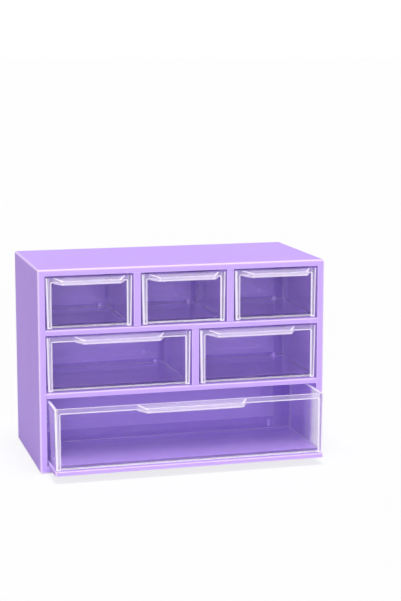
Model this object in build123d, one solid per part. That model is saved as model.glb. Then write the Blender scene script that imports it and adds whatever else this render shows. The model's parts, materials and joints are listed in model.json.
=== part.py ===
from build123d import *
from dataclasses import dataclass
import os

# Desk organiser with six clear drawers in a coloured cabinet.
# Millimetres. X runs left to right, Y runs front to back, Z runs up.
# The origin is the centre of the cabinet's flat base.

# Cabinet shell
CABINET_WIDTH = 185.0
CABINET_DEPTH = 92.5
SIDE_WALL = 4.5
TOP_WALL = 4.1
BOTTOM_WALL = 4.5
OUTER_ROUND = 1.6
OPENING_ROUND = 0.5

# Rows of drawer openings, clear height between their floor and ceiling
BOTTOM_ROW_HEIGHT = 42.9
MIDDLE_ROW_HEIGHT = 36.1
TOP_ROW_HEIGHT = 33.6

# Shelves and dividers that part the rows
SHELF_THICKNESS = 3.4
SHELF_SETBACK = 0.2
SHELF_TOP_ROUND = 1.2
DIVIDER_THICKNESS = 4.6
DIVIDER_SETBACK = 0.3
DIVIDER_ROUND = 0.6
MIDDLE_LEFT_BAY_WIDTH = 93.0
TOP_ROW_BAYS = 3

# Tongues of the shelves and dividers, and the grooves that hold them
TONGUE_THICKNESS = 1.8
TONGUE_REACH = 1.2
TONGUE_SETBACK = 8.0
GROOVE_CLEARANCE = 0.1
FACE_JOINT = 0.02

# Back panel, seated in a rebate round the rear of the shell
BACK_THICKNESS = 2.4
BACK_REBATE = 1.8
BACK_CLEARANCE = 0.15
SHELF_BACK_GAP = 0.2

# Upright stops on each floor, behind the drawer, and the gap that lets a drawer run
REAR_STOP_WIDTH = 2.0
REAR_STOP_INSET = 8.0
REAR_STOP_LENGTH = 2.4
REAR_STOP_HEIGHT = 5.0
RUNNING_GAP = 0.3

# Stop rib on each ceiling, which the catch of a drawn drawer meets
STOP_RIB_SETBACK = 14.0
STOP_RIB_LENGTH = 1.6
STOP_RIB_DROP = 0.9
STOP_RIB_END_GAP = 6.0

# Clear trays, each a little narrower at its foot, on a runner along either side
TRAY_LENGTH = 62.0
TRAY_SETBACK = 0.5
TRAY_SIDE_CLEARANCE = 0.6
TRAY_TOP_CLEARANCE = 1.3
TRAY_DRAFT = 0.6
TRAY_WALL = 2.0
TRAY_FLOOR = 2.0
FRONT_THICKNESS = 2.6
CORNER_RADIUS = 1.4
TRAY_EDGE_ROUND = 0.4
RUNNER_WIDTH = 3.2
RUNNER_HEIGHT = 0.9
WINDOW_RECESS = 0.6
WINDOW_POST = 2.9
WINDOW_TOP_BAND = 2.8
WINDOW_CORNER = 0.8
CATCH_WIDTH = 12.0
CATCH_LENGTH = 1.4
CATCH_HEIGHT = 1.0

# Ledge pulls along the top edge of each drawer front
PULL_PROJECTION = 8.5
PULL_END_INSET = 4.3
PULL_CORNER = 1.6
PULL_PLATE = 1.5
PULL_SLOPE_DROP = 1.0
PULL_SKIRT = 1.3
PULL_SKIRT_HEIGHT = 2.6
PULL_TOP_RIM = 1.1
PULL_TOP_RECESS = 0.4
PULL_BOND = 0.05
TOP_PULL_WIDTH = 45.0
MIDDLE_PULL_WIDTH = 57.0
BOTTOM_PULL_WIDTH = 70.0
MIDDLE_RIGHT_PULL_SHIFT = -4.5

# Coloured base plate that the bottom drawer's tray stands on
BASE_PLATE = 2.6
BASE_EDGE_ROUND = 0.7
BASE_SEAT = 0.1

# How far the bottom drawer stands open at rest, and its play on the right, as it lies to the left
BOTTOM_DRAWER_OPEN = 25.0
BOTTOM_DRAWER_PLAY = 3.0

# How near a plane an edge lies to count as in it, and how far a cut runs past a face
PLANE_TOLERANCE = 0.001
OVERCUT = 1.0

# Heights and widths worked out from the sizes above
FRONT = -CABINET_DEPTH / 2
REAR = CABINET_DEPTH / 2
BOTTOM_FLOOR = BOTTOM_WALL
BOTTOM_CEILING = BOTTOM_FLOOR + BOTTOM_ROW_HEIGHT
MIDDLE_FLOOR = BOTTOM_CEILING + SHELF_THICKNESS
MIDDLE_CEILING = MIDDLE_FLOOR + MIDDLE_ROW_HEIGHT
TOP_FLOOR = MIDDLE_CEILING + SHELF_THICKNESS
TOP_CEILING = TOP_FLOOR + TOP_ROW_HEIGHT
CABINET_HEIGHT = TOP_CEILING + TOP_WALL
INNER_LEFT = -CABINET_WIDTH / 2 + SIDE_WALL
INNER_RIGHT = CABINET_WIDTH / 2 - SIDE_WALL
TOP_DIVIDERS = TOP_ROW_BAYS - 1
TOP_BAY_WIDTH = (INNER_RIGHT - INNER_LEFT - TOP_DIVIDERS * DIVIDER_THICKNESS) / TOP_ROW_BAYS
MIDDLE_DIVIDER_X = INNER_LEFT + MIDDLE_LEFT_BAY_WIDTH + DIVIDER_THICKNESS / 2
BACK_FRONT_FACE = REAR - BACK_THICKNESS
SHELF_REAR = BACK_FRONT_FACE - SHELF_BACK_GAP
TRAY_FRONT = FRONT + TRAY_SETBACK
TRAY_REAR = TRAY_FRONT + TRAY_LENGTH
REAR_STOP_FRONT = TRAY_REAR + RUNNING_GAP
STOP_RIB_FRONT = FRONT + STOP_RIB_SETBACK
STOP_RIB_REAR = STOP_RIB_FRONT + STOP_RIB_LENGTH
TONGUE_HALF = TONGUE_THICKNESS / 2
GROOVE_HALF = TONGUE_HALF + GROOVE_CLEARANCE
GROOVE_DEPTH = TONGUE_REACH + GROOVE_CLEARANCE
GROOVE_FRONT = FRONT + TONGUE_SETBACK
TONGUE_FRONT = GROOVE_FRONT + GROOVE_CLEARANCE


@dataclass
class Bay:
    """One drawer opening and the drawer that fills it."""

    name: str
    left: float
    right: float
    floor: float
    ceiling: float
    pull_width: float
    pull_shift: float = 0.0
    open_by: float = 0.0
    base_height: float = 0.0

    @property
    def centre(self):
        return (self.left + self.right) / 2

    @property
    def tray_width(self):
        return self.right - self.left - 2 * TRAY_SIDE_CLEARANCE

    @property
    def tray_bottom(self):
        return self.floor + RUNNING_GAP + self.base_height

    @property
    def tray_top(self):
        return self.ceiling - TRAY_TOP_CLEARANCE

    @property
    def front(self):
        return TRAY_FRONT - self.open_by


def block(x0, x1, y0, y1, z0, z1):
    """A box from its lowest to its highest corner."""
    size = Box(x1 - x0, y1 - y0, z1 - z0)
    return Pos((x0 + x1) / 2, (y0 + y1) / 2, (z0 + z1) / 2) * size


def top_divider_centres():
    """The X of each divider in the top row."""
    pitch = TOP_BAY_WIDTH + DIVIDER_THICKNESS
    first = INNER_LEFT + TOP_BAY_WIDTH + DIVIDER_THICKNESS / 2
    return [first + n * pitch for n in range(TOP_DIVIDERS)]


def top_bay_names():
    """Left, middle and right, or numbers where there is another count."""
    if TOP_ROW_BAYS == 3:
        return ["left", "middle", "right"]
    return [str(n + 1) for n in range(TOP_ROW_BAYS)]


def all_bays():
    """Every drawer opening, from the top row down."""
    bays = []
    for n, side in enumerate(top_bay_names()):
        left = INNER_LEFT + n * (TOP_BAY_WIDTH + DIVIDER_THICKNESS)
        right = left + TOP_BAY_WIDTH
        bays.append(Bay(f"drawer_top_{side}", left, right, TOP_FLOOR, TOP_CEILING, TOP_PULL_WIDTH))
    split_left = MIDDLE_DIVIDER_X - DIVIDER_THICKNESS / 2
    split_right = MIDDLE_DIVIDER_X + DIVIDER_THICKNESS / 2
    bays.append(
        Bay("drawer_middle_left", INNER_LEFT, split_left, MIDDLE_FLOOR, MIDDLE_CEILING, MIDDLE_PULL_WIDTH)
    )
    bays.append(
        Bay("drawer_middle_right", split_right, INNER_RIGHT, MIDDLE_FLOOR, MIDDLE_CEILING,
            MIDDLE_PULL_WIDTH, pull_shift=MIDDLE_RIGHT_PULL_SHIFT)
    )
    bays.append(
        Bay("drawer_bottom", INNER_LEFT, INNER_RIGHT - BOTTOM_DRAWER_PLAY, BOTTOM_FLOOR, BOTTOM_CEILING,
            BOTTOM_PULL_WIDTH, open_by=BOTTOM_DRAWER_OPEN, base_height=BASE_PLATE + BASE_SEAT)
    )
    return bays


def edges_at(part, axis, value):
    """The edges of a part whose middle lies in one plane across an axis."""
    return part.edges().filter_by_position(axis, value - PLANE_TOLERANCE, value + PLANE_TOLERANCE)


def rear_stops(bay):
    """The two upright stops on a bay's floor, behind its drawer."""
    lefts = (bay.left + REAR_STOP_INSET, bay.right - REAR_STOP_INSET - REAR_STOP_WIDTH)
    return [
        block(x, x + REAR_STOP_WIDTH, REAR_STOP_FRONT, REAR_STOP_FRONT + REAR_STOP_LENGTH,
              bay.floor, bay.floor + REAR_STOP_HEIGHT)
        for x in lefts
    ]


def stop_rib(bay):
    """The rib across a bay's ceiling that keeps its drawer from falling out."""
    x0 = bay.left + STOP_RIB_END_GAP
    x1 = bay.right - STOP_RIB_END_GAP
    return block(x0, x1, STOP_RIB_FRONT, STOP_RIB_REAR, bay.ceiling - STOP_RIB_DROP, bay.ceiling)


def bays_on(bays, floor):
    """The bays whose floor is at this height."""
    return [bay for bay in bays if bay.floor == floor]


def bays_under(bays, ceiling):
    """The bays whose ceiling is at this height."""
    return [bay for bay in bays if bay.ceiling == ceiling]


def cabinet_shell(bays):
    """Top, bottom and both sides in one moulding, open at the front and the rear."""
    half = CABINET_WIDTH / 2
    shell = block(-half, half, FRONT, REAR, 0, CABINET_HEIGHT)
    shell = fillet(shell.edges(), OUTER_ROUND)
    shell -= block(INNER_LEFT, INNER_RIGHT, FRONT - OVERCUT, REAR + OVERCUT, BOTTOM_FLOOR, TOP_CEILING)
    opening = [edge for edge in edges_at(shell, Axis.Y, FRONT) if is_opening_edge(edge)]
    shell = fillet(opening, OPENING_ROUND)
    shell -= block(INNER_LEFT - BACK_REBATE, INNER_RIGHT + BACK_REBATE, BACK_FRONT_FACE, REAR + OVERCUT,
                   BOTTOM_FLOOR - BACK_REBATE, TOP_CEILING + BACK_REBATE)
    for ceiling in (BOTTOM_CEILING, MIDDLE_CEILING):
        middle = ceiling + SHELF_THICKNESS / 2
        shell -= block(INNER_LEFT - GROOVE_DEPTH, INNER_RIGHT + GROOVE_DEPTH, GROOVE_FRONT,
                       BACK_FRONT_FACE + OVERCUT, middle - GROOVE_HALF, middle + GROOVE_HALF)
    for x in top_divider_centres():
        shell -= block(x - GROOVE_HALF, x + GROOVE_HALF, GROOVE_FRONT, BACK_FRONT_FACE + OVERCUT,
                       TOP_CEILING - OVERCUT, TOP_CEILING + GROOVE_DEPTH)
    for bay in bays_on(bays, BOTTOM_FLOOR):
        shell += rear_stops(bay)
    for bay in bays_under(bays, TOP_CEILING):
        shell += stop_rib(bay)
    return shell


def is_opening_edge(edge):
    """Whether a front edge belongs to the shell's opening and not to its outline."""
    centre = edge.center()
    across = INNER_LEFT - PLANE_TOLERANCE <= centre.X <= INNER_RIGHT + PLANE_TOLERANCE
    up = BOTTOM_FLOOR - PLANE_TOLERANCE <= centre.Z <= TOP_CEILING + PLANE_TOLERANCE
    return across and up


def back_panel():
    """Flat panel that closes the rear of the shell."""
    reach = BACK_REBATE - BACK_CLEARANCE
    return block(INNER_LEFT - reach, INNER_RIGHT + reach, BACK_FRONT_FACE, REAR,
                 BOTTOM_FLOOR - reach, TOP_CEILING + reach)


def shelf(ceiling, bays, grooves_below, grooves_above):
    """A shelf above the given ceiling, with its side tongues, rear stops and stop ribs."""
    floor = ceiling + SHELF_THICKNESS
    middle = ceiling + SHELF_THICKNESS / 2
    front = FRONT + SHELF_SETBACK
    plate = block(INNER_LEFT + FACE_JOINT, INNER_RIGHT - FACE_JOINT, front, SHELF_REAR, ceiling, floor)
    front_edges = edges_at(plate, Axis.Y, front).filter_by(Axis.X).sort_by(Axis.Z)
    plate = fillet(front_edges[-1], SHELF_TOP_ROUND)
    front_edges = edges_at(plate, Axis.Y, front).filter_by(Axis.X).sort_by(Axis.Z)
    plate = fillet(front_edges[0], OPENING_ROUND)
    plate += block(INNER_LEFT - TONGUE_REACH, INNER_RIGHT + TONGUE_REACH, TONGUE_FRONT, SHELF_REAR,
                   middle - TONGUE_HALF, middle + TONGUE_HALF)
    for x in grooves_below:
        plate -= block(x - GROOVE_HALF, x + GROOVE_HALF, GROOVE_FRONT, SHELF_REAR + OVERCUT,
                       ceiling - OVERCUT, ceiling + GROOVE_DEPTH)
    for x in grooves_above:
        plate -= block(x - GROOVE_HALF, x + GROOVE_HALF, GROOVE_FRONT, SHELF_REAR + OVERCUT,
                       floor - GROOVE_DEPTH, floor + OVERCUT)
    for bay in bays_on(bays, floor):
        plate += rear_stops(bay)
    for bay in bays_under(bays, ceiling):
        plate += stop_rib(bay)
    return plate


def divider(x, floor, ceiling):
    """An upright wall between two bays, tongued into what is above and below it."""
    front = FRONT + DIVIDER_SETBACK
    half = DIVIDER_THICKNESS / 2
    wall = block(x - half, x + half, front, SHELF_REAR, floor + FACE_JOINT, ceiling - FACE_JOINT)
    wall = fillet(edges_at(wall, Axis.Y, front).filter_by(Axis.Z), DIVIDER_ROUND)
    wall += block(x - TONGUE_HALF, x + TONGUE_HALF, TONGUE_FRONT, SHELF_REAR,
                  floor - TONGUE_REACH, ceiling + TONGUE_REACH)
    return wall


def rounded_box(x0, x1, y0, y1, z0, z1, radius):
    """A box whose four upright edges are rounded."""
    outline = RectangleRounded(x1 - x0, y1 - y0, radius)
    return Pos((x0 + x1) / 2, (y0 + y1) / 2, z0) * extrude(outline, z1 - z0)


def drafted_box(bay, inset, front, rear, low, high, radius):
    """A rounded box whose sides keep one distance inside a tray's, which lean out towards the top."""
    rate = TRAY_DRAFT / (bay.tray_top - bay.tray_bottom)
    ends = []
    for z in (low, high):
        width = bay.tray_width - 2 * inset - 2 * rate * (bay.tray_top - z)
        outline = RectangleRounded(width, rear - front, radius)
        ends.append(Pos(bay.centre, (front + rear) / 2, z) * outline)
    return loft(ends, ruled=True)


def window_cut(bay, front):
    """The shallow recess in the face of a drawer front, under a top band and between two posts."""
    width = bay.tray_width - 2 * WINDOW_POST - TRAY_DRAFT
    low = bay.tray_bottom - OVERCUT
    high = bay.tray_top - WINDOW_TOP_BAND
    outline = Plane.XZ * RectangleRounded(width, high - low, WINDOW_CORNER)
    recess = extrude(outline, WINDOW_RECESS + OVERCUT)
    return Pos(bay.centre, front + WINDOW_RECESS, (low + high) / 2) * recess


def tray(bay):
    """A clear open-topped drawer box on two runners, thicker at the front, with a catch at the rear."""
    front = bay.front
    rear = front + TRAY_LENGTH
    bottom = bay.tray_bottom
    top = bay.tray_top
    box = drafted_box(bay, 0, front, rear, bottom, top, CORNER_RADIUS)
    box = fillet(edges_at(box, Axis.Z, bottom), TRAY_EDGE_ROUND)
    box = fillet(edges_at(box, Axis.Z, top), TRAY_EDGE_ROUND)
    inner_radius = max(CORNER_RADIUS - TRAY_WALL, TRAY_EDGE_ROUND)
    box -= drafted_box(bay, TRAY_WALL, front + FRONT_THICKNESS, rear - TRAY_WALL,
                       bottom + RUNNER_HEIGHT + TRAY_FLOOR, top + OVERCUT, inner_radius)
    channel_half = bay.tray_width / 2 - TRAY_DRAFT - RUNNER_WIDTH
    box -= block(bay.centre - channel_half, bay.centre + channel_half, front - OVERCUT, rear + OVERCUT,
                 bottom - OVERCUT, bottom + RUNNER_HEIGHT)
    box -= window_cut(bay, front)
    catch_half = CATCH_WIDTH / 2
    catch_front = rear - TRAY_WALL
    box += block(bay.centre - catch_half, bay.centre + catch_half, catch_front, catch_front + CATCH_LENGTH,
                 top - TRAY_WALL, top + CATCH_HEIGHT)
    return box


def pull_outline(half_back, half_front, depth, corner):
    """The plan of a pull: a trapezoid, wide at the drawer front, with rounded outer corners."""
    outline = Polyline((-half_back, 0), (-half_front, -depth), (half_front, -depth), (half_back, 0), close=True)
    face = make_face(outline)
    outer = face.vertices().sort_by(Axis.Y)[:2]
    return fillet(outer, corner)


def sloped_cut(drop):
    """What lies above the pull's sloping top, or above a line that far below it, seen from the side."""
    rate = PULL_SLOPE_DROP / PULL_PROJECTION
    far = PULL_PROJECTION + OVERCUT
    line = Polyline((OVERCUT, rate * OVERCUT - drop), (-far, -rate * far - drop), (-far, OVERCUT),
                    (OVERCUT, OVERCUT), close=True)
    return Plane.YZ * make_face(line)


def pull(bay):
    """A ledge pull: a plate that dips towards its front, with a skirt to hook a finger behind."""
    half_back = bay.pull_width / 2
    half_front = half_back - PULL_END_INSET
    height = PULL_SLOPE_DROP + PULL_SKIRT_HEIGHT
    body = extrude(pull_outline(half_back, half_front, PULL_PROJECTION, PULL_CORNER), -height)
    top = extrude(sloped_cut(0), bay.pull_width)
    body -= Pos(-half_back, 0, 0) * top
    hollow = pull_outline(half_back - PULL_SKIRT, half_front - PULL_SKIRT, PULL_PROJECTION - PULL_SKIRT,
                          PULL_TOP_RIM)
    body -= Pos(0, 0, -PULL_SLOPE_DROP - PULL_PLATE) * extrude(hollow, -height)
    dish = pull_outline(half_back - PULL_TOP_RIM, half_front - PULL_TOP_RIM, PULL_PROJECTION - PULL_TOP_RIM,
                        PULL_TOP_RIM)
    dish_floor = extrude(sloped_cut(PULL_TOP_RECESS), bay.pull_width)
    dish = Pos(0, 0, OVERCUT) * extrude(dish, -height)
    body -= dish & Pos(-half_back, 0, 0) * dish_floor
    return Pos(bay.centre + bay.pull_shift, bay.front - PULL_BOND, bay.tray_top) * body


def base_plate(bay):
    """The coloured plate that the bottom tray stands on."""
    half = bay.tray_width / 2
    low = bay.floor + RUNNING_GAP
    plate = rounded_box(bay.centre - half, bay.centre + half, bay.front, bay.front + TRAY_LENGTH,
                        low, low + BASE_PLATE, CORNER_RADIUS)
    return fillet(edges_at(plate, Axis.Z, low + BASE_PLATE), BASE_EDGE_ROUND)


def assembly():
    """Every piece of the organiser by name."""
    bays = all_bays()
    top_dividers = top_divider_centres()
    parts = {
        "cabinet_shell": cabinet_shell(bays),
        "back_panel": back_panel(),
        "shelf_upper": shelf(MIDDLE_CEILING, bays, [MIDDLE_DIVIDER_X], top_dividers),
        "shelf_lower": shelf(BOTTOM_CEILING, bays, [], [MIDDLE_DIVIDER_X]),
        "divider_middle": divider(MIDDLE_DIVIDER_X, MIDDLE_FLOOR, MIDDLE_CEILING),
    }
    for n, x in enumerate(top_dividers, start=1):
        parts[f"divider_top_{n}"] = divider(x, TOP_FLOOR, TOP_CEILING)
    for bay in bays:
        parts[f"{bay.name}_tray"] = tray(bay)
        parts[f"{bay.name}_pull"] = pull(bay)
        if bay.base_height:
            parts[f"{bay.name}_base"] = base_plate(bay)
    return parts


os.makedirs("parts", exist_ok=True)
for node, solid in assembly().items():
    export_step(solid, f"parts/{node}.step")
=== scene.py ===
import json
import logging
import math
from abc import ABC, abstractmethod
from collections.abc import Iterable
from dataclasses import asdict, dataclass, field
from enum import Enum
from functools import partialmethod
from typing import Any, ClassVar

import bpy
from mathutils import Matrix, Vector

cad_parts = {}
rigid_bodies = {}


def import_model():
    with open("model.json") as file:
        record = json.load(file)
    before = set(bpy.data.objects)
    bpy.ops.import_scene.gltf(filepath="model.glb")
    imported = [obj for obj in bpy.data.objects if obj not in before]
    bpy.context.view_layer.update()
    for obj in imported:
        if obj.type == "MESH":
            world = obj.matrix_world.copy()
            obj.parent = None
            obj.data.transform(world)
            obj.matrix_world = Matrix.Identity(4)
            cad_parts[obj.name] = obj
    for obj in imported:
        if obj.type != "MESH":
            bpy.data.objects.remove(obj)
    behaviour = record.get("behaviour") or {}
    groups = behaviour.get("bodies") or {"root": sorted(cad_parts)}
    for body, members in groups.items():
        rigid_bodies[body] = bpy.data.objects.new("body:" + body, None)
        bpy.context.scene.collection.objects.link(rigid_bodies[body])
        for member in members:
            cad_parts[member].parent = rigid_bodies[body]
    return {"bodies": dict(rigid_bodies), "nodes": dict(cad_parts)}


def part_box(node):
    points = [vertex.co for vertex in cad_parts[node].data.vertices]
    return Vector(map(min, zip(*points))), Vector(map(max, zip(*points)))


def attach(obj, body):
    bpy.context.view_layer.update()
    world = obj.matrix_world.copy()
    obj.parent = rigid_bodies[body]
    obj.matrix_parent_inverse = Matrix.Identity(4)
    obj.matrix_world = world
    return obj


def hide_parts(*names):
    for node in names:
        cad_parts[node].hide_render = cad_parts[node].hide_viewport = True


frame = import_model()

LOG = logging.getLogger("storage_drawers")
MM = 0.001
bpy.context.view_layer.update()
WHITE = "#FFFFFF"

# The sRGB curve: a straight line up to its knee, and a power above it.
SRGB_KNEE, SRGB_SLOPE, SRGB_OFFSET, SRGB_POWER = 0.04045, 12.92, 0.055, 2.4

# The picture in pixels, the camera's sensor, and how many clear walls a ray may pass.
IMAGE_SIZE = (401, 601)
SENSOR_SIZE_MM = 36.0
CLEAR_WALLS_DEEP = 32

# A face counts as lying along an axis, or square on to it, while it is off by less than this.
NEARLY = math.radians(9)
SIDE_ON, SQUARE_ON = math.sin(NEARLY), math.cos(NEARLY)

# How much of a normal lies along its main axis, on a flat face and well round an edge.
FLAT, WELL_ROUND = 0.995, 0.8

# The facing values between which a surface turns from square on to the eye to edge on.
GLANCE_BLEND, GLANCE_START, GLANCE_END = 0.5, 0.2, 0.8

# Edges that turn by more than the first are rounded. Outlines get so many steps to a corner,
# and points closer than the last are one point.
SHARP_TURN = math.radians(30)
CORNER_STEPS = 8
SAME_POINT = 0.001 * MM

# How solids are cut and joined.
CUT = {"operation": "DIFFERENCE", "solver": "EXACT"}
JOIN = {"operation": "UNION", "solver": "EXACT"}

# What the meshes keep: the share of rounding on an edge, and two heights for the finishes.
ROUNDING_SHARE = "bevel_weight_edge"
BELOW_BAND = "below_band"
ABOVE_FOOT = "above_foot"


class TreeEnd(Enum):
    """What a shader tree shows its surface on, as the type of its last node."""

    MATERIAL = "ShaderNodeOutputMaterial"
    WORLD = "ShaderNodeOutputWorld"


class Side(Enum):
    """The side of a block, by how its points compare with a height inside it."""

    TOP = "GREATER_THAN"
    UNDERSIDE = "LESS_THAN"


def linear_colour(sheet_colour: str) -> tuple[float, float, float, float]:
    """Turn an sRGB hex value into linear light.

    Args:
        sheet_colour: Six hex digits after a hash, as on a colour sheet.

    Returns:
        Red, green, blue and an alpha of one.
    """
    channels = [int(sheet_colour[n : n + 2], 16) / 255 for n in (1, 3, 5)]
    red, green, blue = (
        c / SRGB_SLOPE if c <= SRGB_KNEE else ((c + SRGB_OFFSET) / (1 + SRGB_OFFSET)) ** SRGB_POWER
        for c in channels
    )
    return (red, green, blue, 1.0)


@dataclass(frozen=True)
class Source:
    """What a node gives at one output, to link on or to reckon with.

    A comparison gives one where it holds and else zero. The greater of two is written |, which is
    one where either holds, and their product & or *, which is one where both hold.
    """

    socket: bpy.types.NodeSocket

    def reckon(self, operation: str, other: "float | Source" = 0.0) -> "Source":
        """Put this and another amount through a Math node.

        Args:
            operation: What the node does, as Blender names it.
            other: The second number or source, where it takes one.

        Returns:
            The answer.
        """
        tree = self.socket.id_data
        settings, terms = {"operation": operation}, {0: self, 1: other}
        return add_node(tree, "ShaderNodeMath", settings, terms)["Value"]

    def __rsub__(self, other: float) -> "Source":
        """Take this from a number."""
        return self * -1.0 + other

    __add__ = partialmethod(reckon, "ADD")
    __sub__ = partialmethod(reckon, "SUBTRACT")
    __mul__ = partialmethod(reckon, "MULTIPLY")
    __truediv__ = partialmethod(reckon, "DIVIDE")
    __lt__ = partialmethod(reckon, "LESS_THAN")
    __gt__ = partialmethod(reckon, "GREATER_THAN")
    __and__ = partialmethod(reckon, "MULTIPLY")
    __or__ = partialmethod(reckon, "MAXIMUM")
    __abs__ = partialmethod(reckon, "ABSOLUTE")


# What an input takes: a number or a source, and a vector of them.
Amount = float | Source
Point = tuple[Amount, Amount, Amount]


@dataclass(frozen=True)
class Sources:
    """All that a node gives."""

    node: bpy.types.Node

    def __getitem__(self, output: str | int) -> Source:
        """Give one output, by its name or number."""
        return Source(self.node.outputs[output])


def add_node(
    tree: bpy.types.NodeTree,
    kind: str,
    settings: dict[str, Any] | None = None,
    inputs: dict[str | int, Any] | None = None,
) -> Sources:
    """Add a node, set it up, and fill its inputs with values or links.

    Args:
        tree: The shader or geometry tree that the node goes into.
        kind: The node's type name in Blender.
        settings: The node's own properties by name.
        inputs: For each input a value, a source, a list of sources, or a vector of numbers and
            sources.

    Returns:
        What the new node gives.
    """
    node = tree.nodes.new(kind)
    for name, value in (settings or {}).items():
        setattr(node, name, value)
    for key, given in (inputs or {}).items():
        for value in given if isinstance(given, list) else [given]:
            if isinstance(value, tuple) and any(isinstance(part, Source) for part in value):
                value = add_node(tree, "ShaderNodeCombineXYZ", inputs=dict(enumerate(value)))[0]
            if isinstance(value, Source):
                tree.links.new(value.socket, node.inputs[key])
            else:
                node.inputs[key].default_value = value
    return Sources(node)


def seen_rays(tree: bpy.types.NodeTree) -> Source:
    """Tell the rays that show the surround to the eye, straight or by a clear or glossy surface.

    Args:
        tree: The shader tree that the nodes go into.

    Returns:
        One for such a ray, and else zero.
    """
    path = add_node(tree, "ShaderNodeLightPath")
    return path["Is Camera Ray"] | path["Is Glossy Ray"] | path["Is Transmission Ray"]


def by_glance(tree: bpy.types.NodeTree, square_on: float, glancing: float) -> Source:
    """Give a share that changes as the surface turns edge on to the eye.

    Args:
        tree: The shader tree that the nodes go into.
        square_on: The share where the surface faces the eye.
        glancing: The share where it is nearly edge on.

    Returns:
        The share.
    """
    facing = add_node(tree, "ShaderNodeLayerWeight", inputs={"Blend": GLANCE_BLEND})["Facing"]
    return add_node(
        tree,
        "ShaderNodeMapRange",
        inputs={
            "Value": facing,
            "From Min": GLANCE_START,
            "From Max": GLANCE_END,
            "To Min": square_on,
            "To Max": glancing,
        },
    )["Result"]


def bent_away(tree: bpy.types.NodeTree) -> Source:
    """Tell how far a surface turns away from all three axes, as on a rounded edge.

    Args:
        tree: The shader tree that the nodes go into.

    Returns:
        Zero on a flat face and one well round an edge.
    """
    normal = add_node(tree, "ShaderNodeNewGeometry")["Normal"]
    along = add_node(tree, "ShaderNodeSeparateXYZ", inputs={0: normal})
    most = abs(along["X"]) | abs(along["Y"]) | abs(along["Z"])
    return add_node(
        tree,
        "ShaderNodeMapRange",
        inputs={"Value": most, "From Min": FLAT, "From Max": WELL_ROUND},
    )["Result"]


def new_material(name: str) -> tuple[bpy.types.Material, bpy.types.NodeTree]:
    """Make an empty node material.

    Args:
        name: The material's name.

    Returns:
        The material and its node tree.
    """
    material = bpy.data.materials.new(name)
    material.use_nodes = True
    material.node_tree.nodes.clear()
    return material, material.node_tree


def end_shading(
    tree: bpy.types.NodeTree, end: TreeEnd, share: Source, first: Source, second: Source
) -> None:
    """End a shader tree with a blend of two surfaces.

    Args:
        tree: The tree to end.
        end: What shows the blend.
        share: How much of the second surface there is.
        first: The surface where the share is zero.
        second: The surface where it is one.
    """
    blend = add_node(tree, "ShaderNodeMixShader", inputs={0: share, 1: first, 2: second})["Shader"]
    add_node(tree, end.value, inputs={"Surface": blend})


@dataclass(frozen=True)
class Pattern:
    """A soft random pattern, by the real size of its marks in metres."""

    size: float
    detail: float = 2.0
    swirl: float = 0.0

    def inputs(self, place: Source) -> dict[str, Any]:
        """Give what a Noise Texture takes to draw it at a place on the object."""
        scale = 1 / self.size
        return {"Vector": place, "Scale": scale, "Detail": self.detail, "Distortion": self.swirl}


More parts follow.
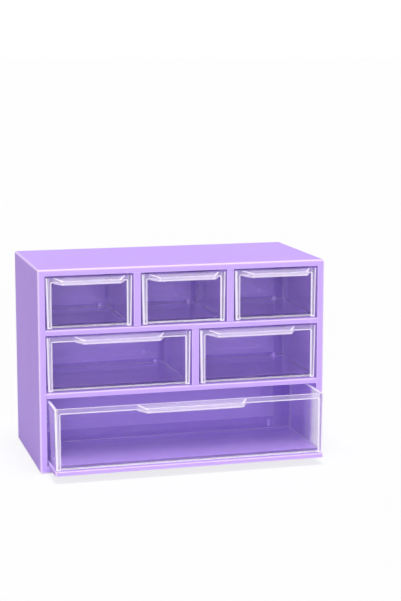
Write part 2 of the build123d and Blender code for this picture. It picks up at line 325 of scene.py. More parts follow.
@dataclass(frozen=True)
class LilacPolypropylene:
    """Injection-moulded polypropylene, coloured in the mass.

    The eye gets a creamy, waxy pastel: most of the light comes back out of the body of the
    plastic, under a thin satin skin that is never quite even. Rounded edges near the cabinet's
    front, sides and top get a paler, pinker painted highlight line.
    """

    name: str = "moulded_lilac_polypropylene"
    colour: str = "#CCADF9"
    deep_colour: str = "#C6A6F6"
    # The paler, pinker edge colour, with its share and reach, is a painted highlight on outer
    # edges.
    painted_highlight_colour: str = "#F4E2FC"
    painted_highlight_share: float = 0.75
    painted_highlight_reach: float = 6.0 * MM
    skin_share: float = 0.45
    glancing_share: float = 0.08
    sheen_low: float = 0.26
    sheen_high: float = 0.36
    ior: float = 1.49
    flow_marks: Pattern = Pattern(38.0 * MM, swirl=0.6)
    sheen_patches: Pattern = Pattern(9.0 * MM)
    # The real skin's grain is about 0.1 mm, too fine to show, so it is drawn nine times as coarse.
    skin_grain: Pattern = Pattern(0.9 * MM, detail=3.0)
    skin_depth: float = 0.012 * MM
    skin_strength: float = 0.5

    def material(self) -> bpy.types.Material:
        """Build the material.

        Returns:
            Satin plastic with flow marks, patchy gloss and a fine moulded skin.
        """
        material, tree = new_material(self.name)
        place = add_node(tree, "ShaderNodeTexCoord")["Object"]
        flow, patches, grain = (
            add_node(tree, "ShaderNodeTexNoise", inputs=pattern.inputs(place))["Fac"]
            for pattern in (self.flow_marks, self.sheen_patches, self.skin_grain)
        )
        colour: Any = linear_colour(self.colour)
        # Painted highlight: rounded edges near the front, sides and top turn paler and pinker.
        edges = bent_away(tree) * self.painted_highlight_mask(tree, place)
        for share, other in ((flow, self.deep_colour), (edges, self.painted_highlight_colour)):
            colour = add_node(
                tree,
                "ShaderNodeMix",
                {"data_type": "RGBA"},
                {"Factor": share, "A": colour, "B": linear_colour(other)},
            )["Result"]
        sheen = add_node(
            tree,
            "ShaderNodeMapRange",
            inputs={"Value": patches, "To Min": self.sheen_low, "To Max": self.sheen_high},
        )["Result"]
        skin = add_node(
            tree,
            "ShaderNodeBump",
            inputs={"Height": grain, "Distance": self.skin_depth, "Strength": self.skin_strength},
        )["Normal"]
        body = add_node(tree, "ShaderNodeBsdfDiffuse", inputs={"Color": colour, "Normal": skin})
        satin = add_node(
            tree,
            "ShaderNodeBsdfPrincipled",
            inputs={"Base Color": colour, "Roughness": sheen, "Normal": skin, "IOR": self.ior},
        )
        skin_share = by_glance(tree, self.skin_share, self.glancing_share)
        end_shading(tree, TreeEnd.MATERIAL, skin_share, body["BSDF"], satin["BSDF"])
        return material

    def painted_highlight_mask(self, tree: bpy.types.NodeTree, place: Source) -> Source:
        """Give the painted highlight's share on edges near the cabinet's front, sides and top, not
        inside.

        Args:
            tree: The shader tree that the nodes go into.
            place: The place on the object.

        Returns:
            The share of the painted highlight colour.
        """
        low, high = (Vector(corner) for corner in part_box("cabinet_shell"))
        at = add_node(tree, "ShaderNodeSeparateXYZ", inputs={0: place})
        from_side_or_top = (high.x - abs(at["X"])).reckon("MINIMUM", high.z - at["Z"])
        nearest = (at["Y"] - low.y).reckon("MINIMUM", from_side_or_top)
        return add_node(
            tree,
            "ShaderNodeMapRange",
            inputs={
                "Value": nearest,
                "From Min": self.painted_highlight_reach,
                "From Max": self.painted_highlight_reach / 2,
                "To Min": 0.0,
                "To Max": self.painted_highlight_share,
            },
        )["Result"]


@dataclass(frozen=True)
class ClearPolystyrene:
    """Injection-moulded crystal polystyrene with a polished face.

    The eye gets a thin, water-clear wall that barely veils what is behind it, with a faint
    ripple in its reflections. Lamps shine through it. Along rims and posts, where light running
    inside the wall would come out, part of it is opaque white: a painted highlight.
    """

    name: str
    body: float
    painted_white_scatter: float
    glancing_body: float = 1.0
    band_body: float | None = None
    band_blur: float = 0.5 * MM
    foot_body: float = 1.0
    colour: str = "#FDFCFF"
    ior: float = 1.45
    shine: float = 0.12
    gloss_low: float = 0.015
    gloss_high: float = 0.05
    ripples: Pattern = Pattern(17.0 * MM)
    ripple_depth: float = 0.02 * MM
    ripple_strength: float = 0.4

    def material(self) -> bpy.types.Material:
        """Build the material.

        Returns:
            Clear glassy plastic that lets lamps and soft light through to what it covers.
        """
        material, tree = new_material(self.name)
        place = add_node(tree, "ShaderNodeTexCoord")["Object"]
        waves = add_node(tree, "ShaderNodeTexNoise", inputs=self.ripples.inputs(place))["Fac"]
        ripple = add_node(
            tree,
            "ShaderNodeBump",
            inputs={
                "Height": waves,
                "Distance": self.ripple_depth,
                "Strength": self.ripple_strength,
            },
        )["Normal"]
        gloss = add_node(
            tree,
            "ShaderNodeMapRange",
            inputs={"Value": waves, "To Min": self.gloss_low, "To Max": self.gloss_high},
        )["Result"]
        plastic = add_node(
            tree,
            "ShaderNodeBsdfPrincipled",
            inputs={
                "Base Color": linear_colour(self.colour),
                "Roughness": gloss,
                "Normal": ripple,
                "IOR": self.ior,
                "Specular IOR Level": self.shine,
                # The scattered share is opaque white, a painted highlight on posts and rims.
                "Transmission Weight": 1.0 - self.painted_white_scatter,
                "Alpha": self.opacity(tree),
            },
        )
        clear = add_node(tree, "ShaderNodeBsdfTransparent", inputs={"Color": linear_colour(WHITE)})
        path = add_node(tree, "ShaderNodeLightPath")
        lit_through = path["Is Shadow Ray"] | path["Is Diffuse Ray"]
        end_shading(tree, TreeEnd.MATERIAL, lit_through, plastic["BSDF"], clear["BSDF"])
        return material

    def opacity(self, tree: bpy.types.NodeTree) -> Source:
        """Give how much the plastic veils: on a post, less near the top, fully at the painted foot
        line.

        Args:
            tree: The shader tree that the nodes go into.

        Returns:
            The share of what is behind it that it hides.
        """
        if self.band_body is None:
            return by_glance(tree, self.body, self.glancing_body)
        shares = []
        for attribute, before, after in (
            (BELOW_BAND, self.band_body, self.body),
            (ABOVE_FOOT, self.foot_body, 0.0),
        ):
            height = add_node(tree, "ShaderNodeAttribute", {"attribute_name": attribute})["Fac"]
            share = add_node(
                tree,
                "ShaderNodeMapRange",
                inputs={
                    "Value": height,
                    "From Min": -self.band_blur,
                    "From Max": self.band_blur,
                    "To Min": before,
                    "To Max": after,
                },
            )
            shares.append(share["Result"])
        return shares[0] | shares[1]


@dataclass(frozen=True)
class ClearFinishes:
    """The three finishes of one clear moulding: the clear wall, and the post and rim that paint
    white highlights.
    """

    wall: bpy.types.Material
    post: bpy.types.Material
    rim: bpy.types.Material


@dataclass(frozen=True)
class PaperFloor:
    """White background paper, which the eye reads as an even white with a soft contact shadow."""

    name: str = "white_background_paper"
    colour: str = "#F2F2F4"
    glow: float = 0.78

    def material(self) -> bpy.types.Material:
        """Build the material.

        Returns:
            Matt white paper, which looks partly lit from behind where it is seen.
        """
        material, tree = new_material(self.name)
        white, glow = linear_colour(self.colour), linear_colour(WHITE)
        paper = add_node(tree, "ShaderNodeBsdfDiffuse", inputs={"Color": white})
        lit = add_node(tree, "ShaderNodeEmission", inputs={"Color": glow, "Strength": 1.0})
        share = seen_rays(tree) * self.glow
        end_shading(tree, TreeEnd.MATERIAL, share, paper["BSDF"], lit["Emission"])
        return material


def new_tree(
    name: str, lengths: Iterable[str], others: dict[str, str] | None = None
) -> tuple[bpy.types.NodeTree, Sources]:
    """Start a Geometry Nodes tree with named inputs.

    Args:
        name: The tree's name.
        lengths: The names of its inputs that are lengths in metres.
        others: The socket types of its other inputs, which come first, by their names.

    Returns:
        The tree and what its inputs give.
    """
    tree = bpy.data.node_groups.new(name, "GeometryNodeTree")
    inputs = {**(others or {}), **dict.fromkeys(lengths, "NodeSocketFloat")}
    for title, kind in inputs.items():
        tree.interface.new_socket(title, in_out="INPUT", socket_type=kind)
    tree.interface.new_socket("Geometry", in_out="OUTPUT", socket_type="NodeSocketGeometry")
    return tree, add_node(tree, "NodeGroupInput")


def put_shape(
    tree: bpy.types.NodeTree,
    shape: bpy.types.NodeTree,
    sizes: dict[str, Amount],
    place: Point,
    turn: tuple[float, float, float] = (0.0, 0.0, 0.0),
) -> Source:
    """Add another tree's shape to this tree.

    Args:
        tree: The tree that it goes into.
        shape: The tree that makes it.
        sizes: Its sizes, by the names of its inputs. One that isn't named is zero.
        place: Where it goes.
        turn: How it is turned about X, Y and Z, in radians.

    Returns:
        The shape.
    """
    made = add_node(tree, "GeometryNodeGroup", {"node_tree": shape}, sizes)
    return add_node(
        tree,
        "GeometryNodeTransform",
        inputs={"Geometry": made["Geometry"], "Translation": place, "Rotation": turn},
    )["Geometry"]


def put_box(tree: bpy.types.NodeTree, sizes: Point, middle: Point) -> Source:
    """Add a plain box to a tree.

    Args:
        tree: The tree that it goes into.
        sizes: Its width, depth and height.
        middle: Where its middle goes.

    Returns:
        The box.
    """
    box = add_node(tree, "GeometryNodeMeshCube", inputs={"Size": sizes})["Mesh"]
    return add_node(
        tree, "GeometryNodeTransform", inputs={"Geometry": box, "Translation": middle}
    )["Geometry"]


def raise_outline(tree: bpy.types.NodeTree, outline: Source, height: Source) -> Source:
    """Fill a flat closed outline and raise it into a closed solid.

    Args:
        tree: The tree that the nodes go into.
        outline: The curve, flat on Z zero.
        height: How far it is raised.

    Returns:
        The solid, from Z zero up.
    """
    sheet = add_node(tree, "GeometryNodeFillCurve", {"mode": "NGONS"}, {"Curve": outline})["Mesh"]
    raised = add_node(
        tree,
        "GeometryNodeExtrudeMesh",
        {"mode": "FACES"},
        {"Mesh": sheet, "Offset": (0.0, 0.0, 1.0), "Offset Scale": height, "Individual": False},
    )["Mesh"]
    underside = add_node(tree, "GeometryNodeFlipFaces", inputs={"Mesh": sheet})["Mesh"]
    both = add_node(tree, "GeometryNodeJoinGeometry", inputs={"Geometry": [raised, underside]})
    return add_node(
        tree,
        "GeometryNodeMergeByDistance",
        inputs={"Geometry": both["Geometry"], "Distance": SAME_POINT},
    )["Geometry"]


def block_tree() -> bpy.types.NodeTree:
    """Build the tree of a block with a trapezoid plan, rounded upright edges and leaning sides.

    Returns:
        A tree for use inside other trees, centred on X and Y and standing on Z zero.
    """
    tree, size = new_tree(
        "block",
        ("back_width", "front_width", "length", "height", "back_radius", "front_radius", "draft"),
    )
    outline = add_node(
        tree,
        "GeometryNodeCurvePrimitiveQuadrilateral",
        {"mode": "TRAPEZOID"},
        {
            "Height": size["length"],
            "Bottom Width": size["front_width"],
            "Top Width": size["back_width"],
            "Offset": 0.0,
        },
    )["Curve"]
    position = add_node(tree, "GeometryNodeInputPosition")["Position"]
    at = add_node(tree, "ShaderNodeSeparateXYZ", inputs={0: position})
    radius = (at["Y"] > 0.0) * size["back_radius"] + (at["Y"] < 0.0) * size["front_radius"]
    rounded = add_node(
        tree,
        "GeometryNodeFilletCurve",
        {"mode": "POLY"},
        {"Curve": outline, "Count": CORNER_STEPS, "Radius": radius, "Limit Radius": True},
    )["Curve"]
    leaning_out = add_node(
        tree,
        "GeometryNodeSetPosition",
        inputs={
            "Geometry": raise_outline(tree, rounded, size["height"]),
            "Selection": at["Z"] > 0.0,
            "Offset": (at["X"].reckon("SIGN") * size["draft"], 0.0, 0.0),
        },
    )["Geometry"]
    add_node(tree, "NodeGroupOutput", inputs={"Geometry": leaning_out})
    return tree


def finish_shape(
    tree: bpy.types.NodeTree, solid: Source, place: Source, material: bpy.types.Material
) -> None:
    """End a shape's tree: sharp edges marked for rounding, place, smooth shading and material.

    Args:
        tree: The tree to end.
        solid: The finished solid.
        place: Where its own origin goes in the frame.
        material: What it is made of.
    """
    is_sharp = add_node(tree, "GeometryNodeInputMeshEdgeAngle")["Unsigned Angle"] > SHARP_TURN
    for kind, settings, inputs in (
        (
            "GeometryNodeStoreNamedAttribute",
            {"data_type": "FLOAT", "domain": "EDGE"},
            {"Name": ROUNDING_SHARE, "Value": is_sharp},
        ),
        ("GeometryNodeTransform", {}, {"Translation": place}),
        ("GeometryNodeSetShadeSmooth", {}, {}),
        ("GeometryNodeRealizeInstances", {}, {}),
        ("GeometryNodeSetMaterial", {}, {"Material": material}),
    ):
        solid = add_node(tree, kind, settings, {"Geometry": solid, **inputs})["Geometry"]
    add_node(tree, "NodeGroupOutput", inputs={"Geometry": solid})


@dataclass(frozen=True)
class PaintedHighlightReaches:
    """How far the painted highlights reach in a clear piece, in metres.

    The front, the frame and the lip reach in from its front, the rim, the band and the plate down
    from its top, and the foot, the face and the underside up from its foot. A reach of zero has
    nothing in it. The tilt is how far up an edge with a painted highlight has to look, from minus
    one, straight down, to one.
    """

    front: float
    band: float
    foot: float
    under: float
    rim: float = 0.0
    face: float = 0.0
    lip: float = 0.0
    plate: float = 0.0
    frame: float = 0.05 * MM
    tilt: float = -1.0


def leaning(part: Source) -> Source:
    """Tell the faces neither along an axis nor square on to it, by its part of their normal."""
    return (part > SIDE_ON) & (part < SQUARE_ON)


def paint_edge_highlights_tree(finishes: ClearFinishes) -> bpy.types.NodeTree:
    """Build the tree that paints white highlights on a clear piece where light would leave its
    walls.

    Rounded edges and corners near the piece's front and top, where light running in the wall
    would come out, get the rim finish, a painted white highlight, and so do the flat top of the
    walls, the front end of a tray's floor and the lip of a pull. Edges further in, the flat face
    of the front's frame and the plate of a pull get the post finish, a fainter painted highlight.
    Edges that look down at the foot, back into the piece or straight ahead between a pull's lip
    and its face stay clear, and so look dark. Every point keeps how far it lies below the band
    along the top and above the painted foot line, for the finishes to read.

    Args:
        finishes: The finishes of the clear moulding.

    Returns:
        A tree that runs on the rounded piece.
    """
    lengths = PaintedHighlightReaches.__annotations__
    tree, reach = new_tree("painted_clear_edges", lengths, {"piece": "NodeSocketGeometry"})
    piece = reach["piece"]
    box = add_node(tree, "GeometryNodeBoundBox", inputs={"Geometry": piece})
    normal, place, low, high = (
        add_node(tree, "ShaderNodeSeparateXYZ", inputs={0: vector})
        for vector in (
            add_node(tree, "GeometryNodeInputNormal")["Normal"],
            add_node(tree, "GeometryNodeInputPosition")["Position"],
            box["Min"],
            box["Max"],
        )
    )
    depth = place["Y"] - low["Y"]
    below_top = high["Z"] - place["Z"]
    above_foot = place["Z"] - low["Z"]
    sideways, upward = abs(normal["X"]), abs(normal["Z"])

    bent = leaning(upward) | leaning(sideways)
    level = upward > SQUARE_ON
    forward = normal["Y"] < -SQUARE_ON
    at_top = below_top < reach["rim"]
    near_front = depth < reach["front"]
    on_plate = below_top < reach["plate"]
    within_face = above_foot < reach["face"]

    edges = bent & (normal["Z"] > reach["tilt"]) & (at_top | near_front)
    level_top = at_top & (normal["Z"] > SQUARE_ON)
    lip = level & (depth < reach["lip"])
    face = within_face & near_front & forward
    front_top = at_top & near_front & (sideways < SIDE_ON)
    framing = (depth < reach["frame"]) & forward
    underneath = bent & (normal["Z"] < -SIDE_ON) & (above_foot < reach["under"])
    back = (normal["Y"] > SIDE_ON) & (on_plate | within_face)
    ahead = (normal["Y"] < -SIDE_ON) & (sideways < SIDE_ON)
    crease = (normal["Z"] > SIDE_ON) & ahead & on_plate
    # The post and rim finishes paint white highlights; the last step turns some faces back to clear
    # wall.
    for chosen, material in (
        (framing | bent | (level & on_plate), finishes.post),
        (edges | level_top | lip | face, finishes.rim),
        (front_top, finishes.post),
        (underneath | (bent & (back | crease)), finishes.wall),
    ):
        piece = add_node(
            tree,
            "GeometryNodeSetMaterial",
            inputs={"Geometry": piece, "Selection": chosen, "Material": material},
        )["Geometry"]
    for attribute, height in (
        (BELOW_BAND, below_top - reach["band"]),
        (ABOVE_FOOT, above_foot - reach["foot"]),
    ):
        piece = add_node(
            tree,
            "GeometryNodeStoreNamedAttribute",
            {"data_type": "FLOAT", "domain": "POINT"},
            {"Geometry": piece, "Name": attribute, "Value": height},
        )["Geometry"]
    real = add_node(tree, "GeometryNodeRealizeInstances", inputs={"Geometry": piece})
    add_node(tree, "NodeGroupOutput", inputs={"Geometry": real["Geometry"]})
    return tree


def run_tree(seed: bpy.types.Object, tree: bpy.types.NodeTree, given: dict[str, Any]) -> None:
    """Add a tree to an object as a modifier, with its inputs filled in.

    Args:
        seed: The object that it runs on.
        tree: The tree to run.
        given: What goes into the tree's inputs, by their names.
    """
    modifier = seed.modifiers.new(tree.name, "NODES")
    modifier.node_group = tree
    for item in tree.interface.items_tree:
        if item.in_out == "INPUT" and item.name in given:
            modifier[item.identifier] = given[item.name]


@dataclass
class ClearMoulding:
    """How every clear piece leaves its mould: shaped, rounded at its edges, and finished."""

    finishes: ClearFinishes
    round_steps: int = 3
    edge_highlight_tree: bpy.types.NodeTree = field(init=False)

    def __post_init__(self) -> None:
        """Build the tree that paints the edge highlights once, for every piece."""
        self.edge_highlight_tree = paint_edge_highlights_tree(self.finishes)

    def cast(
        self,
        name: str,
        tree: bpy.types.NodeTree,
        given: dict[str, Any],
        rounding: float,
        lit: PaintedHighlightReaches,
    ) -> bpy.types.Object:
        """Run a shape's tree, its edge rounding and its finish, and keep a plain mesh.

        Args:
            name: The new piece's name.
            tree: The tree that makes the shape.
            given: Its sizes and its place in the frame, by the names of the tree's inputs.
            rounding: The width that its sharp edges are rounded by.
            lit: How far from its front, its top and its foot the piece gets painted highlights.

        Returns:
            The piece, with its object at the origin and its place in its mesh.
        """
        seed = bpy.data.objects.new(f"{name}_seed", bpy.data.meshes.new(f"{name}_seed"))
        bpy.context.collection.objects.link(seed)
        run_tree(seed, tree, given)
        bevel = seed.modifiers.new("rounding", "BEVEL")
        bevel.limit_method = "WEIGHT"
        bevel.width = rounding
        bevel.segments = self.round_steps
        bevel.use_clamp_overlap = False
        run_tree(seed, self.edge_highlight_tree, asdict(lit))
        evening = seed.modifiers.new("evening", "WEIGHTED_NORMAL")
        evening.keep_sharp = True
        graph = bpy.context.evaluated_depsgraph_get()
        mesh = bpy.data.meshes.new_from_object(seed.evaluated_get(graph))
        bpy.data.objects.remove(seed)
        mesh.name = name
        piece = bpy.data.objects.new(name, mesh)
        bpy.context.collection.objects.link(piece)
        return piece


@dataclass(frozen=True)
class TraySizes:
    """The lengths in metres that all trays share, each an input of their tree."""

    wall: float = 2.0 * MM
    floor: float = 2.0 * MM
    front: float = 2.6 * MM
    draft: float = 0.6 * MM
    corner_radius: float = 1.4 * MM
    inner_radius: float = 0.4 * MM
    runner_width: float = 3.2 * MM
    runner_height: float = 0.9 * MM
    window_post: float = 2.9 * MM
    window_top_band: float = 2.8 * MM
    window_recess: float = 0.6 * MM
    window_radius: float = 0.8 * MM
    catch_width: float = 12.0 * MM
    catch_length: float = 0.9 * MM
    catch_setback: float = 0.5 * MM
    catch_height: float = 1.0 * MM
    catch_root: float = 0.8 * MM


@dataclass(frozen=True)
class PullSizes:
    """The lengths in metres that all pulls share, each an input of their tree."""

    end_inset: float = 4.3 * MM
    corner_radius: float = 2.4 * MM
    inner_radius: float = 1.6 * MM
    plate: float = 1.5 * MM
    slope_drop: float = 1.0 * MM
    skirt: float = 1.3 * MM
    rim: float = 1.1 * MM
    recess: float = 0.4 * MM


@dataclass
class Mould(ABC):
    """A mould that clear pieces of one shape come from, each at its own size.

    Its title names its tree, and its own sizes are those that differ from piece to piece.
    """

    title: ClassVar[str]
    own_sizes: ClassVar[tuple[str, ...]]

    block: bpy.types.NodeTree
    moulding: ClearMoulding
    sizes: TraySizes | PullSizes
    tree: bpy.types.NodeTree = field(init=False)
    size: Sources = field(init=False)

    def __post_init__(self) -> None:
        """Build the tree once, for every piece."""
        lengths = (*self.own_sizes, *asdict(self.sizes))
        self.tree, self.size = new_tree(self.title, lengths, {"place": "NodeSocketVector"})
        finish_shape(self.tree, self.shape(), self.size["place"], self.moulding.finishes.wall)

    @abstractmethod
    def shape(self) -> Source:
        """Add the whole shape to the tree."""


@dataclass
class TrayMould(Mould):
    """The mould that every clear drawer box comes from, at its own width, length and height.

    Its tree has the tray's front on Y zero and the underside of its runners on Z zero.
    """

    title = "clear_tray"
    own_sizes = ("width", "length", "height")

    sizes: TraySizes = TraySizes()
    rounding: float = 0.4 * MM
    front_reach: float = 3.2 * MM
    rim_reach: float = 1.5 * MM
    # How high the painted highlight line at the foot reaches, and how much of the floor it takes.
    painted_foot_line: float = 1.8 * MM
    painted_floor_end_share: float = 0.4

    def shape(self) -> Source:
        """Add the tray: a leaning block on runners, hollowed, with a window and a catch.

        Returns:
            The tray.
        """
        size = self.size
        solid = self.put_block(
            sizes=(self.foot_width(), size["length"], size["height"]),
            radius=size["corner_radius"],
            draft=size["draft"],
            place=(0.0, size["length"] * 0.5, 0.0),
        )
        for cuts in ([self.hollow(), self.channel()], [self.window(), self.floor_end()]):
            inputs = {"Mesh 1": solid, "Mesh 2": cuts}
            solid = add_node(self.tree, "GeometryNodeMeshBoolean", CUT, inputs)["Mesh"]
        pieces = {"Mesh 2": [solid, self.catch()]}
        return add_node(self.tree, "GeometryNodeMeshBoolean", JOIN, pieces)["Mesh"]

    def put_block(
        self,
        sizes: Point,
        radius: Source,
        draft: Amount,
        place: Point,
        turn: tuple[float, float, float] = (0.0, 0.0, 0.0),
    ) -> Source:
        """Add one block with a rectangular plan to the tree.

        Args:
            sizes: Its width at its foot, its length and its height.
            radius: The radius of its four corners.
            draft: How far each side leans out.
            place: Where it goes.
            turn: How it is turned about X, Y and Z, in radians.

        Returns:
            The block.
        """
        width, length, height = sizes
        given = {
            "back_width": width,
            "front_width": width,
            "length": length,
            "height": height,
            "back_radius": radius,
            "front_radius": radius,
            "draft": draft,
        }
        return put_shape(self.tree, self.block, given, place, turn)

    def foot_width(self) -> Source:
        """Give the tray's width at its underside."""
        return self.size["width"] - self.size["draft"] * 2.0

    def hollow(self) -> Source:
        """Add the space inside a tray.

        Returns:
            The space, past the top of the walls.
        """
        size = self.size
        floor_top = size["runner_height"] + size["floor"]
        spread = size["draft"] * 2.0 / size["height"]
        width = self.foot_width() - size["wall"] * 2.0 + floor_top * spread
        length = size["length"] - (size["front"] + size["wall"])
        middle = size["front"] + length * 0.5
        return self.put_block(
            sizes=(width, length, size["height"]),
            radius=size["inner_radius"],
            draft=size["draft"],
            place=(0.0, middle, floor_top),
        )

    def channel(self) -> Source:
        """Add the space between a tray's two runners.

        Returns:
            The space, past both ends of the tray.
        """
        size = self.size
        width = self.foot_width() - size["runner_width"] * 2.0
        sizes = (width, size["length"] * 2.0, size["runner_height"] * 2.0)
        return put_box(self.tree, sizes, (0.0, size["length"] * 0.5, 0.0))

    def window(self) -> Source:
        """Add the shallow recess in a tray's face, open at its foot.

        Returns:
            The space, standing out of the face.
        """
        size = self.size
        width = size["width"] - (size["window_post"] * 2.0 + size["draft"])
        high = size["height"] - size["window_top_band"]
        height = high + size["window_radius"] * 2.0
        return self.put_block(
            sizes=(width, height, size["window_recess"] * 2.0),
            radius=size["window_radius"],
            draft=0.0,
            place=(0.0, size["window_recess"], high - height * 0.5),
            turn=(math.radians(90), 0.0, 0.0),
        )

    def floor_end(self) -> Source:
        """Add a strip to the recess that parts off the floor's front end as a face of its own, for
        its painted highlight line.

        Returns:
            The strip, as deep as the recess.
        """
        size = self.size
        width = size["width"] - (size["window_post"] * 2.0 + size["wall"])
        height = size["runner_height"] + size["floor"] * self.painted_floor_end_share
        return put_box(
            self.tree, (width, size["window_recess"] * 2.0, height), (0.0, 0.0, height * 0.5)
        )

    def catch(self) -> Source:
        """Add the catch on top of a tray's rear wall, so far back that its rounded foot is on it.

        Returns:
            The catch.
        """
        size = self.size
        tall = size["catch_height"] + size["catch_root"]
        front = size["length"] - size["wall"] + size["catch_setback"]
        y = front + size["catch_length"] * 0.5
        z = size["height"] + size["catch_height"] - tall * 0.5
        return put_box(self.tree, (size["catch_width"], size["catch_length"], tall), (0.0, y, z))

    def cast(self, name: str, low: Vector, high: Vector) -> bpy.types.Object:
        """Make one tray to fill its CAD node's box.

        Args:
            name: The new piece's name.
            low: The lowest corner of the CAD tray, its catch included.
            high: The highest corner.

        Returns:
            The tray.
        """
        sizes = self.sizes
        given = {
            **asdict(sizes),
            "width": high.x - low.x,
            "length": high.y - low.y,
            "height": high.z - low.z - sizes.catch_height,
            "place": ((low.x + high.x) / 2, low.y, low.z),
        }
        lit = PaintedHighlightReaches(
            front=self.front_reach,
            rim=sizes.catch_height + self.rim_reach,
            band=sizes.catch_height + sizes.window_top_band,
            foot=self.painted_foot_line,
            face=sizes.runner_height + sizes.floor + self.rounding,
            under=sizes.runner_height,
        )
        return self.moulding.cast(name, self.tree, given, self.rounding, lit)


@dataclass
class PullMould(Mould):
    """The mould that every ledge pull comes from, at its own width.

    Its tree has the pull's back on Y zero and its top at Z zero.
    """

    title = "ledge_pull"
    own_sizes = ("back_width", "depth", "height")

    sizes: PullSizes = PullSizes()
    rounding: float = 0.25 * MM
    painted_foot_line: float = 1.3 * MM

    def shape(self) -> Source:
        """Add the pull: a sloping trapezoid ledge, dished on top and hollow below.

        Returns:
            The pull.
        """
        size = self.size
        body = self.put_block(0.0, size["corner_radius"], size["height"] * -1.0)
        body = self.slope(body, Side.TOP, size["height"] * -0.5)
        dish = self.put_block(size["rim"], size["inner_radius"], size["recess"] * -1.0)
        dish = self.slope(dish, Side.UNDERSIDE, 0.0)
        hollow_low = (size["slope_drop"] + size["plate"] + size["height"]) * -1.0
        hollow = self.put_block(size["skirt"], size["inner_radius"], hollow_low)
        inputs = {"Mesh 1": body, "Mesh 2": [dish, hollow]}
        return add_node(self.tree, "GeometryNodeMeshBoolean", CUT, inputs)["Mesh"]

    def put_block(self, inset: Amount, radius: Source, low: Source) -> Source:
        """Add one trapezoid block to the tree, as high as the pull.

        Args:
            inset: How far its ends and front lie inside the pull's own.
            radius: The radius of its front corners.
            low: The Z of its underside.

        Returns:
            The block.
        """
        size = self.size
        back_width = size["back_width"] - inset * 2.0
        depth = size["depth"] - inset
        given = {
            "back_width": back_width,
            "front_width": back_width - size["end_inset"] * 2.0,
            "length": depth,
            "height": size["height"],
            "front_radius": radius,
        }
        return put_shape(self.tree, self.block, given, (0.0, depth * -0.5, low))

    def slope(self, block: Source, side: Side, height: Amount) -> Source:
        """Lower a block's top or underside towards its front.

        Args:
            block: The block to slope.
            side: Which of the two.
            height: The Z that parts its top from its underside.

        Returns:
            The sloped block.
        """
        position = add_node(self.tree, "GeometryNodeInputPosition")["Position"]
        at = add_node(self.tree, "ShaderNodeSeparateXYZ", inputs={0: position})
        drop = at["Y"] * (self.size["slope_drop"] / self.size["depth"])
        return add_node(
            self.tree,
            "GeometryNodeSetPosition",
            inputs={
                "Geometry": block,
                "Selection": at["Z"].reckon(side.value, height),
                "Offset": (0.0, 0.0, drop),
            },
        )["Geometry"]

    def cast(self, name: str, low: Vector, high: Vector) -> bpy.types.Object:
        """Make one pull to fill its CAD node's box.

        Args:
            name: The new piece's name.
            low: The lowest corner of the CAD pull.
            high: The highest corner.

        Returns:
            The pull.
        """
        sizes = self.sizes
        given = {
            **asdict(sizes),
            "back_width": high.x - low.x,
            "depth": high.y - low.y,
            "height": high.z - low.z,
            "place": ((low.x + high.x) / 2, high.y, high.z),
        }
        lit = PaintedHighlightReaches(
            front=high.y - low.y,
            band=low.z - high.z,
            foot=self.painted_foot_line,
            under=self.rounding,
            lip=2 * sizes.rim,
            plate=sizes.slope_drop + sizes.plate + self.rounding,
            tilt=SIDE_ON,
        )
        return self.moulding.cast(name, self.tree, given, self.rounding, lit)


@dataclass
class Drawers:
    """The six sliding drawers: clear tray and ledge pull each, and a base under the widest."""

    tray_mould: TrayMould
    pull_mould: PullMould
    lilac: bpy.types.Material

    def build(self) -> None:
        """Build every drawer that the frame holds."""
        for body in frame["bodies"]:
            if body.startswith("drawer_"):
                self.build_drawer(body)

    def build_drawer(self, body: str) -> None:
        """Build the clear pieces of one drawer and dress its base, where it has one.

        Args:
            body: The CAD body that slides, whose name its nodes start with.
        """
        for part, mould in (("tray", self.tray_mould), ("pull", self.pull_mould)):
            node = f"{body}_{part}"
            low, high = (Vector(corner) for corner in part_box(node))
            piece = mould.cast(f"{body}_clear_{part}", low, high)
            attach(piece, body)
            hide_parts(node)
            LOG.info("%s: %d faces", piece.name, len(piece.data.polygons))
        base = frame["nodes"].get(f"{body}_base")
        if base is not None:
            dress(base, self.lilac)


@dataclass
class Cabinet:
    """The fixed lilac cabinet: shell, back, shelves and dividers."""

    lilac: bpy.types.Material
    # A darker copy of the lilac for the back panel: painted shade.
    back: bpy.types.Material

    def dress(self) -> None:
        """Give every fixed CAD node its finish."""
        for name, node in frame["nodes"].items():
            if not name.startswith("drawer_"):
                dress(node, self.back if name == "back_panel" else self.lilac)


def dress(node: bpy.types.Object, material: bpy.types.Material) -> None:
    """Put a material on a CAD node's own slots.

    Args:
        node: The CAD node's object.
        material: Its finish.
    """
    for material_slot in node.material_slots:
        material_slot.material = material
    LOG.info("%s dressed", node.name)


@dataclass(frozen=True)
class SoftLamp:
    """A broad soft lamp, far enough away to light every side of the object alike."""

    name: str
    strength: float
    spread: float
    towards: tuple[float, float, float]

    def hang(self) -> None:
        """Hang the lamp."""
        lamp = bpy.data.lights.new(self.name, "SUN")
        lamp.energy = self.strength
        lamp.angle = self.spread
        holder = bpy.data.objects.new(self.name, lamp)
        holder.rotation_euler = Vector(self.towards).to_track_quat("-Z", "Y").to_euler()
        bpy.context.collection.objects.link(holder)


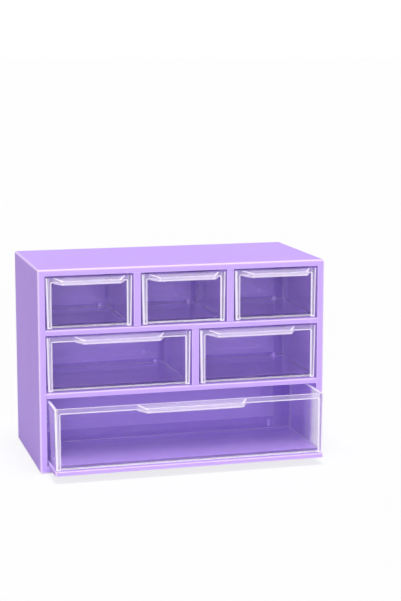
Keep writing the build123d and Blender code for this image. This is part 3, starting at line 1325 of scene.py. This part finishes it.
@dataclass
class Studio:
    """White paper, an even white surround, a lamp overhead and a softer one before the object."""

    floor_reach: float = 30.0
    floor_gap: float = 0.05 * MM
    ambient: float = 0.22
    lamps: tuple[SoftLamp, ...] = (
        SoftLamp("overhead_lamp", strength=2.4, spread=math.radians(30), towards=(0.0, 0.05, -1.0)),
        SoftLamp("front_lamp", strength=1.72, spread=math.radians(34), towards=(0.13, 0.98, -0.15)),
    )

    def build(self) -> None:
        """Build the floor, the surround and the lamps."""
        self.lay_floor()
        self.light_world()
        for lamp in self.lamps:
            lamp.hang()

    def lay_floor(self) -> None:
        """Lay the paper floor just under the object."""
        reach = self.floor_reach
        mesh = bpy.data.meshes.new("paper_floor")
        corners = [(-reach, -reach, 0), (reach, -reach, 0), (reach, reach, 0), (-reach, reach, 0)]
        mesh.from_pydata(corners, [], [(0, 1, 2, 3)])
        mesh.transform(Matrix.Translation((0, 0, -self.floor_gap)))
        floor = bpy.data.objects.new("paper_floor", mesh)
        bpy.context.collection.objects.link(floor)
        mesh.materials.append(PaperFloor().material())

    def light_world(self) -> None:
        """Light the scene evenly, and show plain white behind and in the clear parts."""
        world = bpy.data.worlds.new("white_surround")
        bpy.context.scene.world = world
        world.use_nodes = True
        tree = world.node_tree
        tree.nodes.clear()
        white = linear_colour(WHITE)
        soft, shown = (
            add_node(tree, "ShaderNodeBackground", inputs={"Color": white, "Strength": strength})
            for strength in (self.ambient, 1.0)
        )
        share = seen_rays(tree)
        end_shading(tree, TreeEnd.WORLD, share, soft["Background"], shown["Background"])


@dataclass
class PhotoCamera:
    """The camera fitted to the cabinet's corners in the photograph."""

    azimuth: float = math.radians(-15.27)
    elevation: float = math.radians(9.40)
    place: tuple[float, float, float] = (-241.1 * MM, -967.2 * MM, 262.9 * MM)
    focal_length_px: float = 1544.0

    def build(self) -> None:
        """Create the camera and make it the scene's own."""
        turn, tilt = self.azimuth, self.elevation
        right = Vector((math.cos(turn), math.sin(turn), 0.0))
        back = Vector(
            (math.sin(turn) * math.cos(tilt), -math.cos(turn) * math.cos(tilt), math.sin(tilt))
        )
        up = back.cross(right)
        data = bpy.data.cameras.new("photo_camera")
        data.lens = self.focal_length_px * SENSOR_SIZE_MM / max(IMAGE_SIZE)
        data.sensor_width = SENSOR_SIZE_MM
        camera = bpy.data.objects.new("photo_camera", data)
        pose = Matrix((right, up, back)).transposed().to_4x4()
        pose.translation = Vector(self.place)
        camera.matrix_world = pose
        bpy.context.collection.objects.link(camera)
        bpy.context.scene.camera = camera


def main() -> None:
    """Build the camera, the studio and every piece in order."""
    logging.basicConfig(level=logging.INFO, format="%(message)s")
    scene = bpy.context.scene
    scene.view_settings.view_transform = "Standard"
    scene.cycles.transparent_max_bounces = CLEAR_WALLS_DEEP
    PhotoCamera().build()
    Studio().build()
    lilac = LilacPolypropylene()
    # The back panel's darker copy of the lilac is painted shade at the back of the bays.
    back = LilacPolypropylene("moulded_lilac_back_panel_painted_shade", colour="#BD9EF0", deep_colour="#B899EC")
    wall = ClearPolystyrene("clear_polished_polystyrene", body=0.22, painted_white_scatter=0.0, glancing_body=0.8)
    # The post and rim finishes paint highlights: white plastic along the posts and the edges facing
    # the light.
    post = ClearPolystyrene(
        "clear_polystyrene_painted_post_highlight", body=0.34, painted_white_scatter=0.9, band_body=0.3, colour="#EEE4FA"
    )
    rim = ClearPolystyrene(
        "clear_polystyrene_painted_edge_highlight", body=1.0, painted_white_scatter=1.0, colour="#F8F2FF", shine=0.5
    )
    lilac_finish = lilac.material()
    Cabinet(lilac_finish, back.material()).dress()
    moulding = ClearMoulding(ClearFinishes(wall.material(), post.material(), rim.material()))
    block = block_tree()
    Drawers(TrayMould(block, moulding), PullMould(block, moulding), lilac_finish).build()


if __name__ == "__main__":
    main()
